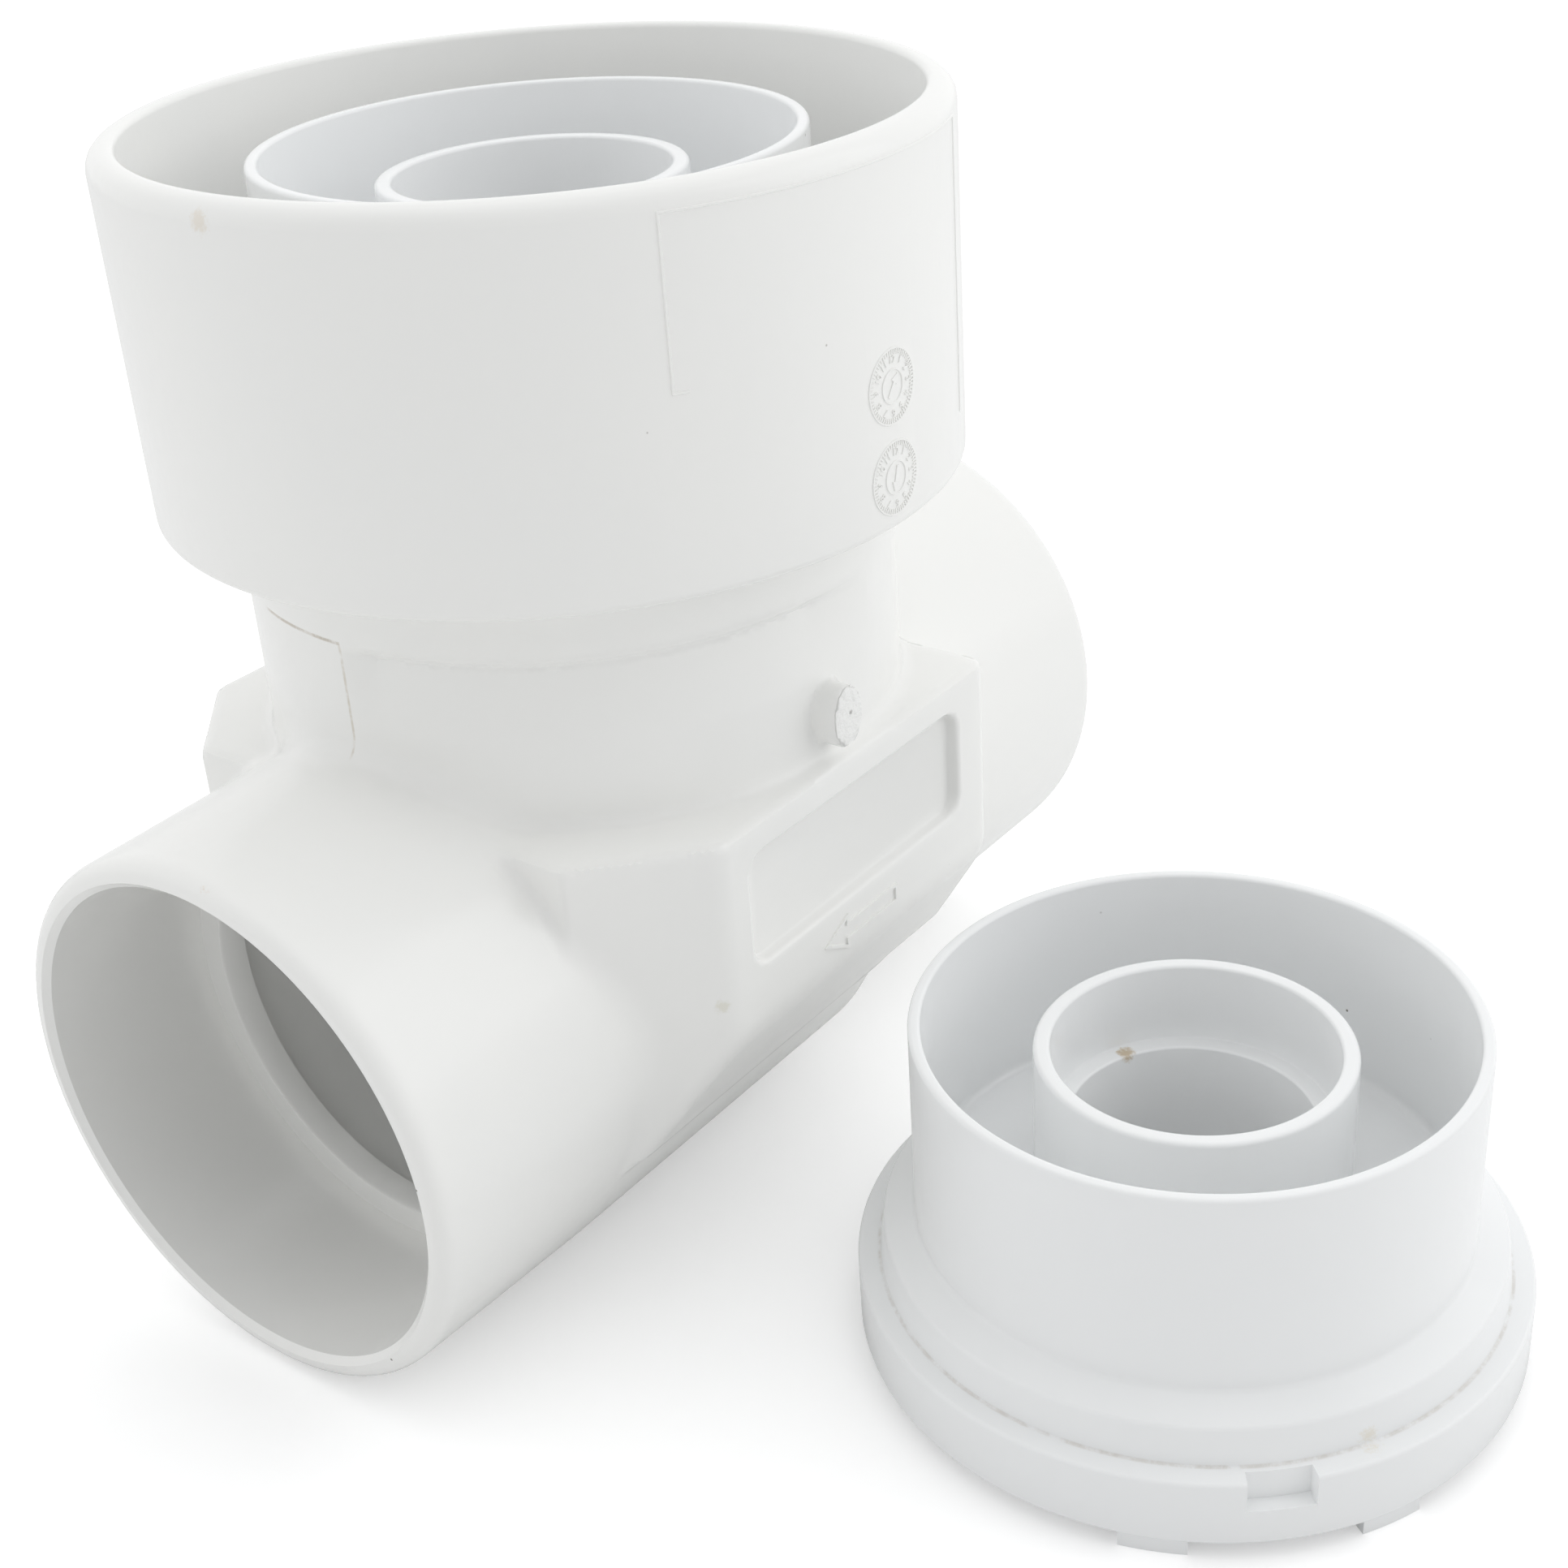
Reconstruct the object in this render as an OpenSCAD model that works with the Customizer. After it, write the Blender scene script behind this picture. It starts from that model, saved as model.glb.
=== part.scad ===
// Extendable backwater valve. A moulded drain body holds a cartridge that lifts out through the
// riser; the cartridge carries a hinged flapper that closes on a sloping seat in the inlet way.
// Lengths are in millimetres. X runs along the drain, water leaves towards -X, and Z 0 is the bed
// that the body lies on, straight under the riser's axis.

/* [Pipe sockets] */
// Bore of the inlet and outlet sockets and of the coupling's outer ring, for 4 inch drain pipe
main_socket_d = 114.7; // [112:0.1:116]
// Depth of the inlet and outlet sockets and of the coupling's outer ring
main_socket_depth = 44.5; // [40:0.5:46]
// Bore of the drain way behind the pipe stops
main_bore_d = 101.6; // [98:0.2:103]
// Bore of the riser socket, for 6 inch pipe
riser_socket_d = 168.8; // [166:0.2:172]
// Depth of the riser socket
riser_socket_depth = 76; // [72:1:82]
// Bore of the coupling's inner socket, for a 2 inch handle pipe
handle_socket_d = 60.5; // [58:0.1:62]
// Depth of the coupling's inner socket
handle_socket_depth = 19; // [16:0.5:24]
// Bore of the coupling under the handle's pipe stop
handle_bore_d = 52.5; // [48:0.5:54]

/* [Body] */
// Outer diameter of the drain run under the riser
run_d = 129; // [127:0.5:133]
// Outer diameter of the outlet hub at its mouth
outlet_mouth_d = 126.6; // [125:0.2:127]
// Outer diameter of the inlet hub
inlet_hub_d = 127; // [125:0.2:127]
// Distance from the riser's axis to the outlet's face
outlet_face = 127.5; // [124:0.5:140]
// Distance from the riser's axis to the inlet's face
inlet_face = 131.5; // [128:0.5:144]
// Height of the inlet's axis over the outlet's axis
run_fall = 10.4; // [8:0.2:12]
// Height of the riser's rim over the outlet's axis
riser_rise = 189; // [185:1:205]
// Wall of the riser hub
riser_wall = 7; // [5:0.5:9]
// Rounding of the riser's rim
rim_round = 3; // [1:0.5:3]
// Thickness of the floor that the riser pipe stops on
stop_plate = 4.7; // [4:0.1:6]
// Outer diameter of the neck between the riser hub and the drain run
neck_d = 149; // [147:0.5:153]
// Height of the plain band at the neck's top, under the riser hub
band_h = 15.9; // [12:0.1:18]
// Depth of the hollow in the neck's panel side, just under the band
hollow_depth = 3; // [1.5:0.25:4]
// Height over which that hollow runs out
hollow_h = 19; // [12:0.5:20]
// Angle that the hollow spans
hollow_angle = 100; // [80:1:110]
// Wall of the chamber and of the side boxes
chamber_wall = 6; // [5:0.5:7]
// Wall under the drain way
run_wall = 6.5; // [5:0.5:8]

/* [Side boxes] */
// Distance between the panels on the two sides
box_w = 156; // [152:0.5:160]
// Length of each side panel
box_l = 98; // [90:1:106]
// Length of the boxes if both their ends sloped like the outlet end
box_end_l = 148; // [144:1:152]
// Width over the narrow outlet end of the boxes
box_end_w = 110; // [104:1:116]
// Distance from the riser's axis to the boxes' square inlet end
box_in = 54.5; // [51:0.5:58]
// Height of the boxes' top over the outlet's axis
box_top = 53; // [50:0.5:58]
// Height of the panels' lower edge over the outlet's axis
box_bottom = 3; // [0:0.5:8]
// Depth of the boxes' sloping underside
box_under = 26; // [20:0.5:30]
// Length of the sunk field in each panel
field_l = 81; // [60:1:86]
// Height of the sunk field in each panel
field_h = 27; // [20:0.5:32]
// Height of the field's lower edge over the panel's lower edge
field_up = 15.5; // [13:0.5:17]
// Depth of the sunk field
field_depth = 3; // [1:0.25:3]
// Corner radius of the sunk field
field_round = 5; // [3:0.5:8]
// Diameter of the trimmed moulding gate on the neck
gate_d = 12.6; // [8:0.2:15]
// Length of the trimmed moulding gate beyond the neck's wall
gate_l = 6; // [4:0.5:10]
// Distance of the gate from the neck's middle, towards the inlet
gate_x = -6; // [-10:0.5:-3]
// Height of the gate's axis over the boxes' top
gate_up = 13; // [10:0.5:13.5]

/* [Coupling] */
// Height of the coupling from its flange's underside to the outer ring's top
coupling_h = 74.4; // [73:0.2:80]
// Wall of the coupling's outer ring
ring_wall = 2.7; // [2.2:0.1:3.2]
// Wall of the coupling's inner ring
inner_ring_wall = 3.6; // [2.6:0.1:4.2]
// Drop of the inner ring's top under the outer ring's top
inner_drop = 7.2; // [4:0.2:12]
// Diameter of the flange
flange_d = 146; // [145:0.2:149]
// Height of the flange
flange_t = 15.7; // [14.5:0.1:17]
// Diameter of the shoulder over the flange
shoulder_d = 136; // [133:0.5:139]
// Height of the shoulder's cone
shoulder_cone = 3.5; // [2:0.1:5]
// Thickness of the deck between the rings
deck_t = 4.5; // [3.5:0.1:5]
// Depth that the flange sinks under the riser's pipe stop
flange_sink = 6.4; // [5:0.1:7]
// Length of the keying lugs under the flange
lug_l = 4.2; // [3:0.1:5]
// Angle that each lug spans
lug_angle = 11; // [8:0.5:14]
// Angle from each notch to the lugs on both sides of it
lug_spread = 19.7; // [15:0.1:26]
// Angle that each notch in the flange spans
notch_angle = 11; // [8:0.5:14]
// Depth of the notches under the flange's top
notch_depth = 7; // [4:0.5:9]
// Thickness of the seal under the flange
flange_seal_t = 3; // [2.5:0.1:3.5]
// Width of the seal under the flange
flange_seal_w = 3.8; // [3:0.1:4.2]

/* [Flapper] */
// Distance from the riser's axis to the seat, at the inlet's axis
seat_x = 24; // [21:0.5:26]
// Lean of the seat and of the closed flapper
seat_tilt = 10; // [8:0.5:12]
// Width of the seat's sealing face round the drain way
seat_land = 5.7; // [4.5:0.1:6]
// Thickness of the flapper's disc
disc_t = 5; // [4:0.5:7]
// Height of the stiffening rim and ribs on the disc
disc_rib = 3.5; // [2:0.5:5]
// Thickness of the flapper's rubber seal
flapper_seal_t = 4; // [3.5:0.1:5]
// Diameter of the hinge pin
pin_d = 8; // [6:0.5:9]
// Height of the hinge pin over the flapper's edge
pin_over = 11.5; // [11:0.5:13]
// Length of the flapper's hinge barrel
barrel_l = 40; // [32:1:48]
// Thickness of the hanger's ears and plate
hanger_t = 6.5; // [5:0.5:8]

/* [Loose coupling] */
// Place of the loose coupling along the drain
spare_x = -3; // [-30:1:30]
// Place of the loose coupling beside the drain
spare_y = -163.5; // [-230:0.5:-160]
// Turn of the loose coupling about its own axis
spare_turn = -48.5; // [-90:0.5:90]

/* [Hidden] */
$fn = 96;
// Gap between parts that lift or turn past each other
move_gap = 0.6;
// Radial clearance of the hinge pin in the flapper
pin_gap = 0.06;
// Clearance round screws and between cartridge pieces
snug = 0.1;
// Overrun of a cut past the face it opens
over = 1;

// The drain run
z_out = run_d / 2;
z_in = z_out + run_fall;
z_rim = z_out + riser_rise;
z_stop = z_rim - riser_socket_depth;
z_ledge = z_stop - flange_sink;
main_r = main_socket_d / 2;
bore_r = main_bore_d / 2;
run_r = run_d / 2;
inlet_hub_r = inlet_hub_d / 2;
trough_r = run_r - run_wall;
x_out_stop = outlet_face - main_socket_depth;
x_in_stop = inlet_face - main_socket_depth;
stop_ring_t = 7;
mouth_bevel = 1.5;
// The inclined belly between the low outlet run and the higher inlet hub, which it enters
ramp_x0 = 26;
ramp_x1 = 72;
ramp_sink = 0.5;
ramp_end_r = inlet_hub_r - run_fall - ramp_sink;

// The riser and the neck under it, which flares under the hub; the hollow faces the panel and outlet
neck_flare = 6;
hollow_at = 230;
riser_r = riser_socket_d / 2;
riser_out_r = riser_r + riser_wall;
z_hub = z_stop - stop_plate;
z_band = z_hub - band_h;
// Lean of the boxes' underside from the upright
under_lean = 31.8;

// The flapper's place: its own frame has X along the closed flapper's normal, towards the inlet
barrel_wall = 4;
seat_over = 4;
flapper_r = bore_r + seat_land;
hinge_up = flapper_r + pin_over;
pin_r = pin_d / 2;
barrel_r = pin_r + barrel_wall;
hinge_back = barrel_r + move_gap;
pin_x = seat_x + hinge_up * sin(seat_tilt) - hinge_back * cos(seat_tilt);
pin_z = z_in + hinge_up * cos(seat_tilt) + hinge_back * sin(seat_tilt);
seat_top = flapper_r + seat_over;
neck_r = norm([flapper_r, seat_x]) + 2 * move_gap;

// The cartridge's rings and flange
lug_inset = 1;
lug_w = 3;
lug_play_angle = 2;
seal_lip = 1.4;
notch_in = 3.5;
edge_bevel = 0.8;
shoulder_draft = 1;
cone_drop = 2;
flange_r = flange_d / 2;
recess_r = flange_r + move_gap;
seal_proud = 0.5;
z_flange = z_ledge + seal_proud;
lug_out_r = flange_r - lug_inset;
lug_in_r = lug_out_r - lug_w;
seal_out_r = lug_in_r - lug_inset;
seal_in_r = seal_out_r - flange_seal_w;
flange_in_r = seal_in_r - seal_lip;
ring_r = main_r + ring_wall;
shoulder_r = shoulder_d / 2;
handle_r = handle_socket_d / 2;
handle_out_r = handle_r + inner_ring_wall;
handle_bore_r = handle_bore_d / 2;
skirt_r = handle_bore_r + inner_ring_wall;
deck_z = coupling_h - main_socket_depth;
inner_top = coupling_h - inner_drop;
handle_stop = inner_top - handle_socket_depth;
cone_z = deck_z - cone_drop;

// The hanger, its screws and the hinge pin
boss_ring_r = 47;
boss_r = 5;
boss_z = 3.5;
hanger_plate_t = 4;
hanger_edge = 2;
hanger_hole_edge = 4;
hanger_out_r = flange_in_r - hanger_edge;
hanger_in_r = skirt_r + hanger_hole_edge;
hanger_z = z_flange + boss_z - hanger_plate_t;
screw_r = 2;
screw_head_r = 3.8;
screw_head_t = 2.4;
screw_head_bevel = 0.8;
screw_slot = 1;
screw_bite = 10;
ear_wall = 5;
ear_r = pin_r + ear_wall;
clip_t = 1.6;
clip_groove = 0.8;
clip_over = 2.2;
clip_angle = 290;
clip_at = barrel_l / 2 + move_gap + hanger_t + snug;
pin_end = 1.5;
pin_l = 2 * (clip_at + clip_t + pin_end);

// The flapper's stack, measured from the sealing face
rib_w = 4;
rib_step = 0.4;
arm_w = 7;
arm_sink = 1;
retainer_t = 1.4;
retainer_sunk = 0.6;
retainer_edge = 1.2;
seal_grip = 6;
seal_flange_t = flapper_seal_t - retainer_sunk - retainer_t;
retainer_r = bore_r - retainer_edge;
seal_bead_in_r = retainer_r + snug;
seal_hole_r = retainer_r - seal_grip;
retainer_screw_ring = 30;
retainer_screw_count = 6;
retainer_screw_short = 0.5;
retainer_head_at = flapper_seal_t - retainer_sunk - screw_head_t;

// A cylinder along X from x0 to x1, with its axis at height z
module along_x(x0, x1, z, r0, r1) {
    translate([x0, 0, z])
        rotate([0, 90, 0])
            cylinder(h = x1 - x0, r1 = r0, r2 = r1);
}

// A solid of revolution about X in the closed flapper's frame; its outline is (radius, depth)
// with depth counted downstream from the sealing face
module on_flapper() {
    translate([seat_x, 0, z_in])
        rotate([0, seat_tilt, 0])
            children();
}

module flapper_turned() {
    on_flapper()
        rotate([0, -90, 0])
            rotate_extrude()
                children();
}

// Part of a ring about Z that spans an angle centred on a given direction
module ring_sector(r0, r1, h, centre, span) {
    rotate([0, 0, centre - span / 2])
        rotate_extrude(angle = span)
            translate([r0, 0])
                square([r1 - r0, h]);
}

// The side boxes as one block: a plan with a sloping outlet end crossed with an upright section
module box_block(inset) {
    slope = atan2((box_w - box_end_w) / 2, (box_end_l - box_l) / 2);
    half_w = box_w / 2 - inset;
    half_end = box_end_l / 2 - inset;
    half_in = box_in - inset;
    cut = inset * tan(slope / 2);
    half_l = box_l / 2 - cut;
    end_half_w = half_w - (half_end - half_l) * tan(slope);
    z0 = z_out + box_bottom;
    z1 = z_out + box_top - inset;
    foot = half_w - box_under * tan(under_lean);
    intersection() {
        linear_extrude(z1)
            polygon([[half_in, half_w], [half_in, -half_w], [-half_l, -half_w], [-half_end, -end_half_w],
                [-half_end, end_half_w], [-half_l, half_w]]);
        rotate([90, 0, 90])
            translate([0, 0, -half_end - over])
                linear_extrude(2 * (half_end + over))
                    polygon([[half_w, z1], [half_w, z0], [foot, z0 - box_under],
                        [-foot, z0 - box_under], [-half_w, z0], [-half_w, z1]]);
    }
}

// Rounded rectangle for the sunk fields, drawn from its lower middle
module field_outline() {
    for (side = [-1, 1])
        for (y = [field_round, field_h - field_round])
            translate([side * (field_l / 2 - field_round), y])
                circle(field_round);
    translate([-field_l / 2, field_round])
        square([field_l, field_h - 2 * field_round]);
    translate([-field_l / 2 + field_round, 0])
        square([field_l - 2 * field_round, field_h]);
}

// Outlet run, inclined belly and inlet hub
module run_outside() {
    taper_end = -box_end_l / 2;
    along_x(-outlet_face, taper_end, z_out, outlet_mouth_d / 2, run_r);
    along_x(taper_end, ramp_x0, z_out, run_r, run_r);
    along_x(ramp_x0, ramp_x1, z_out, run_r, ramp_end_r);
    along_x(0, inlet_face, z_in, inlet_hub_r, inlet_hub_r);
}

// Riser hub with its rounded rim
module riser_outside() {
    rotate_extrude() {
        translate([0, z_hub])
            square([riser_out_r, z_rim - rim_round - z_hub]);
        translate([0, z_hub])
            square([riser_out_r - rim_round, z_rim - z_hub]);
        translate([riser_out_r - rim_round, z_rim - rim_round])
            circle(rim_round);
    }
}

module body_outside() {
    riser_outside();
    translate([0, 0, z_out])
        cylinder(h = z_hub - z_out + over, d = neck_d);
    translate([0, 0, z_hub - neck_flare])
        cylinder(h = neck_flare + over, r1 = neck_d / 2, r2 = neck_d / 2 + neck_flare + over);
    box_block(0);
    run_outside();
    translate([gate_x, 0, z_out + box_top + gate_up])
        rotate([90, 0, 0])
            cylinder(h = neck_d / 2 + gate_l, d = gate_d);
}

// Shallow hollow in the neck, deepest under the band and running out below
module neck_hollow() {
    r = neck_d / 2;
    rotate([0, 0, hollow_at - hollow_angle / 2])
        rotate_extrude(angle = hollow_angle)
            polygon([[r - hollow_depth, z_band], [r + over, z_band],
                [r + over, z_band - hollow_h * (1 + over / hollow_depth)]]);
}

// The block in the chamber that carries the sloping seat
module seat_block() {
    reach = inlet_face;
    on_flapper()
        translate([0, -reach, -reach])
            cube([reach, 2 * reach, reach + seat_top]);
}

module body_inside() {
    neck_hollow();
    translate([0, 0, z_stop])
        cylinder(h = riser_socket_depth + over, r = riser_r);
    translate([0, 0, z_ledge])
        cylinder(h = z_rim - z_ledge, r = recess_r);
    for (half = [0, 180])
        for (side = [-1, 1])
            translate([0, 0, z_flange - lug_l - move_gap])
                ring_sector(lug_in_r - move_gap, lug_out_r + move_gap, lug_l + 2 * move_gap + seal_proud,
                    half - 90 + side * lug_spread, lug_angle + lug_play_angle);
    difference() {
        union() {
            translate([0, 0, z_out])
                cylinder(h = z_rim - z_out, r = neck_r);
            intersection() {
                box_block(chamber_wall);
                translate([-box_end_l, -box_w, z_out + box_bottom])
                    cube([2 * box_end_l, 2 * box_w, box_top]);
            }
            along_x(-x_out_stop + stop_ring_t, box_end_l / 2, z_out, trough_r, trough_r);
        }
        seat_block();
    }
    flapper_turned()
        square([flapper_r + move_gap, flapper_seal_t + disc_t + disc_rib + move_gap]);
    along_x(-outlet_face - over, -x_out_stop, z_out, main_r, main_r);
    along_x(-outlet_face, 0, z_out, bore_r, bore_r);
    along_x(-outlet_face - over, -outlet_face + mouth_bevel, z_out, main_r + mouth_bevel + over, main_r);
    along_x(x_in_stop, inlet_face + over, z_in, main_r, main_r);
    along_x(0, inlet_face, z_in, bore_r, bore_r);
    along_x(inlet_face - mouth_bevel, inlet_face + over, z_in, main_r, main_r + mouth_bevel + over);
    for (side = [0, 180])
        rotate([0, 0, side])
            translate([0, -box_w / 2 + field_depth, z_out + box_bottom + field_up])
                rotate([90, 0, 0])
                    linear_extrude(field_depth + over)
                        field_outline();
}

module valve_body() {
    color("whitesmoke")
        difference() {
            body_outside();
            body_inside();
        }
}

// The double-socket moulding, standing on its flange's underside
module coupling() {
    difference() {
        union() {
            rotate_extrude()
                polygon([[flange_in_r, 0], [flange_r, 0], [flange_r, flange_t - edge_bevel],
                    [flange_r - edge_bevel, flange_t], [shoulder_r, flange_t],
                    [shoulder_r - shoulder_draft, cone_z - shoulder_cone], [ring_r, cone_z],
                    [ring_r, coupling_h - edge_bevel], [ring_r - edge_bevel, coupling_h],
                    [main_r + edge_bevel, coupling_h], [main_r, coupling_h - edge_bevel], [main_r, deck_z],
                    [handle_out_r, deck_z], [handle_out_r, inner_top - edge_bevel],
                    [handle_out_r - edge_bevel, inner_top], [handle_r + edge_bevel, inner_top],
                    [handle_r, inner_top - edge_bevel], [handle_r, handle_stop],
                    [handle_bore_r, handle_stop], [handle_bore_r, boss_z], [skirt_r, boss_z],
                    [skirt_r, deck_z - deck_t], [ring_r - deck_t, deck_z - deck_t],
                    [flange_in_r, flange_t - deck_t]]);
            for (a = [45:90:315])
                rotate([0, 0, a])
                    translate([boss_ring_r, 0, boss_z])
                        cylinder(h = deck_z - deck_t / 2 - boss_z, r = boss_r);
            for (half = [0, 180])
                for (side = [-1, 1])
                    translate([0, 0, -lug_l])
                        ring_sector(lug_in_r, lug_out_r, lug_l + over,
                            half - 90 + side * lug_spread, lug_angle);
        }
        translate([0, 0, -over])
            rotate_extrude()
                translate([seal_in_r - snug, 0])
                    square([flange_seal_w + 2 * snug, over + flange_seal_t - seal_proud]);
        for (half = [0, 180])
            translate([0, 0, flange_t - notch_depth])
                ring_sector(flange_r - notch_in, flange_r + over, notch_depth + over, half - 90, notch_angle);
        for (a = [45:90:315])
            rotate([0, 0, a])
                translate([boss_ring_r, 0, boss_z - over])
                    cylinder(h = screw_bite + 2 * over, r = screw_r + snug);
    }
}

module cartridge_coupling() {
    color("white")
        translate([0, 0, z_flange])
            coupling();
}

module spare_coupling() {
    color("white")
        translate([spare_x, spare_y, lug_l])
            rotate([0, 0, spare_turn])
                coupling();
}

module flange_seal() {
    color("dimgray")
        translate([0, 0, z_ledge])
            rotate_extrude()
                translate([seal_in_r, 0])
                    square([flange_seal_w, flange_seal_t]);
}

// Plate screwed under the coupling, with two ears that hold the hinge pin
module flapper_hanger() {
    ear_y = barrel_l / 2 + move_gap;
    color("gainsboro")
        difference() {
            union() {
                translate([0, 0, hanger_z])
                    cylinder(h = hanger_plate_t, r = hanger_out_r);
                for (side = [-1, 1])
                    translate([pin_x, side > 0 ? ear_y : -ear_y - hanger_t, pin_z]) {
                        rotate([-90, 0, 0])
                            cylinder(h = hanger_t, r = ear_r);
                        translate([-ear_r, 0, 0])
                            cube([2 * ear_r, hanger_t, hanger_z - pin_z + hanger_plate_t / 2]);
                    }
            }
            translate([0, 0, hanger_z - over])
                cylinder(h = hanger_plate_t + 2 * over, r = hanger_in_r);
            translate([pin_x, barrel_l, pin_z])
                rotate([90, 0, 0])
                    cylinder(h = 2 * barrel_l, r = pin_r + pin_gap);
            for (a = [45:90:315])
                rotate([0, 0, a])
                    translate([boss_ring_r, 0, hanger_z - over])
                        cylinder(h = hanger_plate_t + 2 * over, r = screw_r + snug);
        }
}

// Crossed drive slots that open upwards from z 0
module drive_slots() {
    for (turn = [0, 90])
        rotate([0, 0, turn])
            translate([-screw_head_r / 2, -screw_slot / 2, 0])
                cube([screw_head_r, screw_slot, screw_head_t]);
}

module hanger_screws() {
    color("silver")
        for (a = [45:90:315])
            rotate([0, 0, a])
                translate([boss_ring_r, 0, hanger_z]) {
                    cylinder(h = hanger_plate_t + screw_bite, r = screw_r);
                    difference() {
                        translate([0, 0, -screw_head_t])
                            cylinder(screw_head_t, screw_head_r - screw_head_bevel, screw_head_r);
                        translate([0, 0, -1.5 * screw_head_t])
                            drive_slots();
                    }
                }
}

module hinge_pin() {
    color("lightsteelblue")
        translate([pin_x, 0, pin_z])
            rotate([90, 0, 0])
                difference() {
                    translate([0, 0, -pin_l / 2])
                        cylinder(h = pin_l, r = pin_r);
                    for (side = [-1, 1])
                        translate([0, 0, side > 0 ? clip_at : -clip_at - clip_t])
                            rotate_extrude()
                                translate([pin_r - clip_groove, 0])
                                    square([clip_groove + over, clip_t]);
                }
}

// Snap rings in the pin's grooves, open on one side
module pin_clips() {
    color("slategray")
        translate([pin_x, 0, pin_z])
            rotate([90, 0, 0])
                for (side = [-1, 1])
                    translate([0, 0, side > 0 ? clip_at : -clip_at - clip_t])
                        ring_sector(pin_r - clip_groove, pin_r + clip_over, clip_t, 90, clip_angle);
}

// Stiffened disc with two arms up to the hinge barrel
module flapper_disc() {
    back = flapper_seal_t + disc_t;
    front = flapper_seal_t + arm_sink;
    arm_half = barrel_r - arm_sink;
    color("gainsboro")
        difference() {
            union() {
                flapper_turned() {
                    translate([0, flapper_seal_t])
                        square([flapper_r, disc_t]);
                    translate([flapper_r - rib_w, flapper_seal_t])
                        square([rib_w, disc_t + disc_rib]);
                }
                on_flapper() {
                    rotate([0, -90, 0])
                        translate([0, 0, back - over])
                            linear_extrude(disc_rib + over - rib_step)
                                for (a = [0:60:120])
                                    rotate(a)
                                        square([2 * flapper_r - rib_w, rib_w], center = true);
                    for (side = [-1, 1])
                        translate([0, side * barrel_l / 4 + arm_w / 2, 0])
                            rotate([90, 0, 0])
                                linear_extrude(arm_w)
                                    polygon([[-front, bore_r / 2], [-front, flapper_r],
                                        [-hinge_back + arm_half, hinge_up - arm_sink],
                                        [-hinge_back, hinge_up + arm_sink],
                                        [-hinge_back - arm_half, hinge_up - arm_sink],
                                        [-back - disc_rib, bore_r / 2]]);
                    translate([-hinge_back, 0, hinge_up])
                        rotate([90, 0, 0])
                            cylinder(h = barrel_l, r = barrel_r, center = true);
                }
            }
            on_flapper() {
                translate([-hinge_back, 0, hinge_up])
                    rotate([90, 0, 0])
                        cylinder(h = barrel_l + 2 * over, r = pin_r + pin_gap, center = true);
                for (i = [1:retainer_screw_count])
                    rotate([360 / retainer_screw_count * (i + 0.5), 0, 0])
                        translate([-back, 0, retainer_screw_ring])
                            rotate([0, 90, 0])
                                cylinder(h = disc_t + over, r = screw_r + snug);
            }
        }
}

// Moulded rubber ring: a flat bead on the seat and a thin flange under the retainer
module flapper_seal() {
    color("#2b2b2b")
        flapper_turned() {
            translate([seal_bead_in_r, 0])
                square([flapper_r - seal_bead_in_r, flapper_seal_t]);
            translate([seal_hole_r, flapper_seal_t - seal_flange_t])
                square([seal_bead_in_r - seal_hole_r + over, seal_flange_t]);
        }
}

// Plate that clamps the rubber ring to the disc
module seal_retainer() {
    color("silver")
        difference() {
            flapper_turned() {
                translate([0, retainer_sunk])
                    square([retainer_r, retainer_t]);
                translate([0, retainer_sunk])
                    square([seal_hole_r - snug, flapper_seal_t - retainer_sunk]);
            }
            on_flapper()
                for (i = [1:retainer_screw_count])
                    rotate([360 / retainer_screw_count * (i + 0.5), 0, 0])
                        translate([-flapper_seal_t - over, 0, retainer_screw_ring])
                            rotate([0, 90, 0]) {
                                cylinder(h = flapper_seal_t + over, r = screw_r + snug);
                                translate([0, 0, retainer_head_at + over])
                                    cylinder(h = screw_head_t + over, r = screw_head_r + snug);
                            }
        }
}

module retainer_screws() {
    shank = disc_t - retainer_screw_short;
    color("silver")
        on_flapper()
            for (i = [1:retainer_screw_count])
                rotate([360 / retainer_screw_count * (i + 0.5), 0, 0])
                    translate([-flapper_seal_t, 0, retainer_screw_ring])
                        rotate([0, 90, 0])
                            difference() {
                                union() {
                                    translate([0, 0, -shank])
                                        cylinder(h = shank + retainer_head_at + over, r = screw_r);
                                    translate([0, 0, retainer_head_at])
                                        cylinder(h = screw_head_t, r = screw_head_r);
                                }
                                translate([0, 0, retainer_head_at + screw_head_t / 2])
                                    drive_slots();
                            }
}

valve_body();
cartridge_coupling();
flange_seal();
flapper_hanger();
hanger_screws();
hinge_pin();
pin_clips();
flapper_disc();
flapper_seal();
seal_retainer();
retainer_screws();
spare_coupling();
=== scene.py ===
import math

import bmesh
import bpy
import numpy as np
from mathutils import Matrix, Vector


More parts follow.
